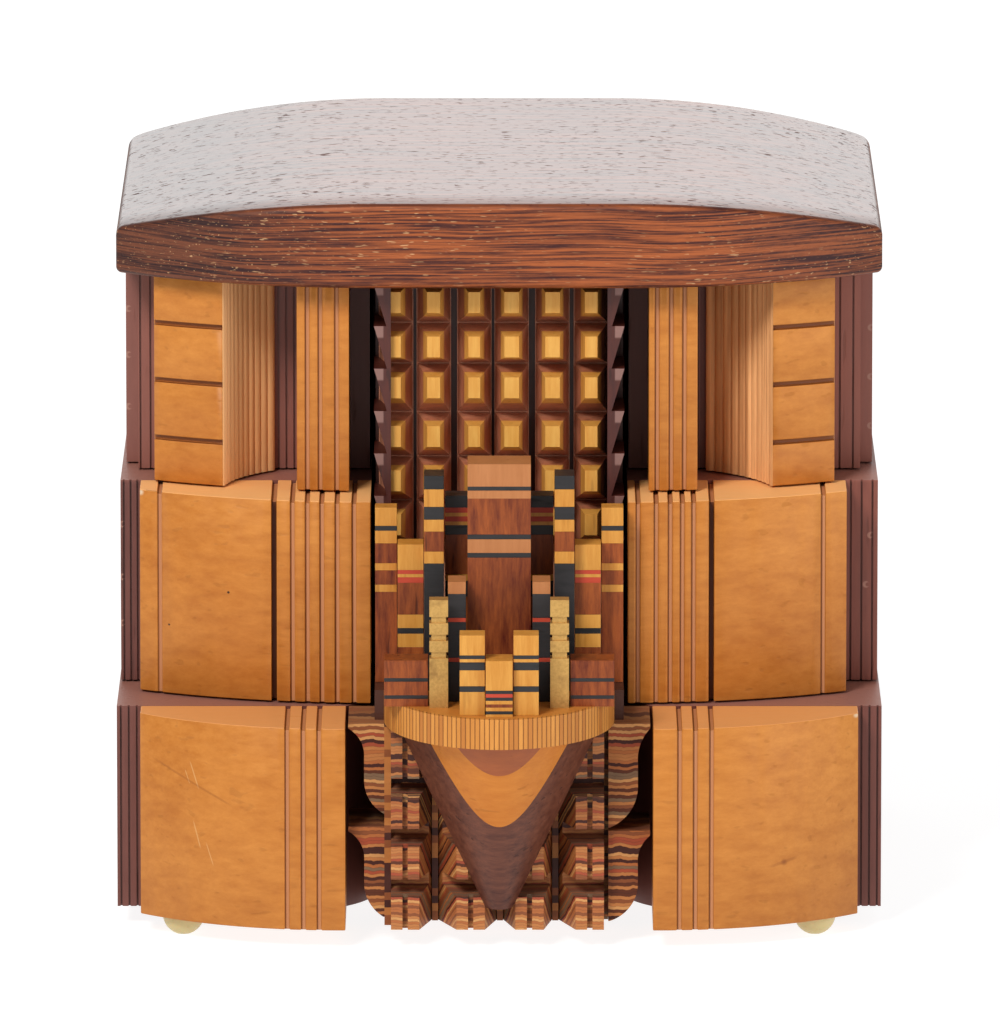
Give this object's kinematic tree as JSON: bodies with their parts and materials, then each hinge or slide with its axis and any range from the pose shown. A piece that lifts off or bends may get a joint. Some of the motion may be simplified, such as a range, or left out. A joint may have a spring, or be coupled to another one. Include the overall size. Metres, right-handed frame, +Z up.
{
  "type": "tiered keepsake box",
  "caption": "Wooden keepsake box in three stepped tiers with swing-out trays on corner rods, a central tower with a balcony, and a lift-off domed lid.",
  "frame": {"origin": "centre of the bounding box's bottom face, on the table", "axes": "+X to the right seen from the front, +Y to the back, +Z up"},
  "size_m": [0.1908, 0.231, 0.1809],
  "materials": {
    "pear_wood": "Fine straight-grained orange fruitwood, oiled satin",
    "purple_wood": "Dark purple-brown hardwood, oiled satin",
    "dark_wood": "Very dark brown hardwood, satin",
    "lid_wood": "Red-brown figured hardwood with gold flecks, polished",
    "reed_wood": "Dark reeded hardwood, satin",
    "striped_wood": "Level glued veneers in orange, brown, red and black",
    "comb_wood": "Upright glued veneers in yellow and brown",
    "satinwood": "Yellow hardwood, satin",
    "mahogany": "Red-brown hardwood, satin",
    "ebony": "Black hardwood, satin",
    "redwood": "Red veneer, satin",
    "tan_wood": "Tan hardwood, satin",
    "orange_wood": "Orange-brown hardwood, satin",
    "pale_floor_wood": "Plain light board, unpolished",
    "gilt": "Gilded, slightly rough",
    "rod_metal": "Drawn steel rod",
    "washer_metal": "Thin turned washers",
    "felt": "Dark felt lining",
    "soft_foot": "Ivory-coloured soft bumper"
  },
  "bodies": {
    "base": {"base_left_case": "purple_wood", "base_left_front_block": "pear_wood", "zebra_left_bracket": "striped_wood", "core_left_cheek": "purple_wood", "base_right_case": "purple_wood", "base_right_front_block": "pear_wood", "zebra_right_bracket": "striped_wood", "core_right_cheek": "purple_wood", "base_floors": "pale_floor_wood", "base_liners": "felt", "feet": "soft_foot", "pivot_rods": "rod_metal", "rod_plugs": "purple_wood", "rod_washers": "washer_metal", "core_front_board": "dark_wood", "core_back_panel": "purple_wood", "core_floor": "pale_floor_wood", "core_liner": "felt", "lattice_bars": "dark_wood", "lattice_inlays": "satinwood", "lattice_fins": "dark_wood", "zebra_block": "striped_wood", "zebra_columns": "striped_wood", "zebra_strips": "comb_wood", "corbel_outer": "purple_wood", "corbel_middle": "orange_wood", "corbel_inner": "mahogany", "balcony_deck": "pear_wood", "balcony_edge_strips": "comb_wood", "town_satinwood_layers": "satinwood", "town_mahogany_layers": "mahogany", "town_ebony_layers": "ebony", "town_redwood_layers": "redwood", "town_tan_layers": "tan_wood", "town_gilt_posts": "gilt"},
    "mid_left_tray": {"mid_left_case": "purple_wood", "mid_left_floor": "pale_floor_wood", "mid_left_liner": "felt", "mid_left_front_block": "pear_wood"},
    "top_left_tray": {"top_left_case": "purple_wood", "top_left_floor": "pale_floor_wood", "top_left_liner": "felt", "top_left_corner_post": "pear_wood", "top_left_cove": "reed_wood", "top_left_pilaster": "pear_wood"},
    "mid_right_tray": {"mid_right_case": "purple_wood", "mid_right_floor": "pale_floor_wood", "mid_right_liner": "felt", "mid_right_front_block": "pear_wood"},
    "top_right_tray": {"top_right_case": "purple_wood", "top_right_floor": "pale_floor_wood", "top_right_liner": "felt", "top_right_corner_post": "pear_wood", "top_right_cove": "reed_wood", "top_right_pilaster": "pear_wood"},
    "lid": {"lid_slab": "lid_wood"}
  },
  "joints": [
    {"name": "mid_left_swing", "type": "hinge", "parent": "base", "child": "mid_left_tray", "pos_m": [-0.0835, 0.094, 0.0561], "axis": [0, 0, -1], "range_deg": [0, 75]},
    {"name": "top_left_swing", "type": "hinge", "parent": "base", "child": "top_left_tray", "pos_m": [-0.0835, 0.094, 0.1074], "axis": [0, 0, -1], "range_deg": [0, 75]},
    {"name": "mid_right_swing", "type": "hinge", "parent": "base", "child": "mid_right_tray", "pos_m": [0.0835, 0.094, 0.0561], "axis": [0, 0, 1], "range_deg": [0, 75]},
    {"name": "top_right_swing", "type": "hinge", "parent": "base", "child": "top_right_tray", "pos_m": [0.0835, 0.094, 0.1074], "axis": [0, 0, 1], "range_deg": [0, 75]},
    {"name": "lid_lift", "type": "slide", "parent": "base", "child": "lid", "axis": [0, 0, 1], "range_m": [0, 0.08]}
  ]
}
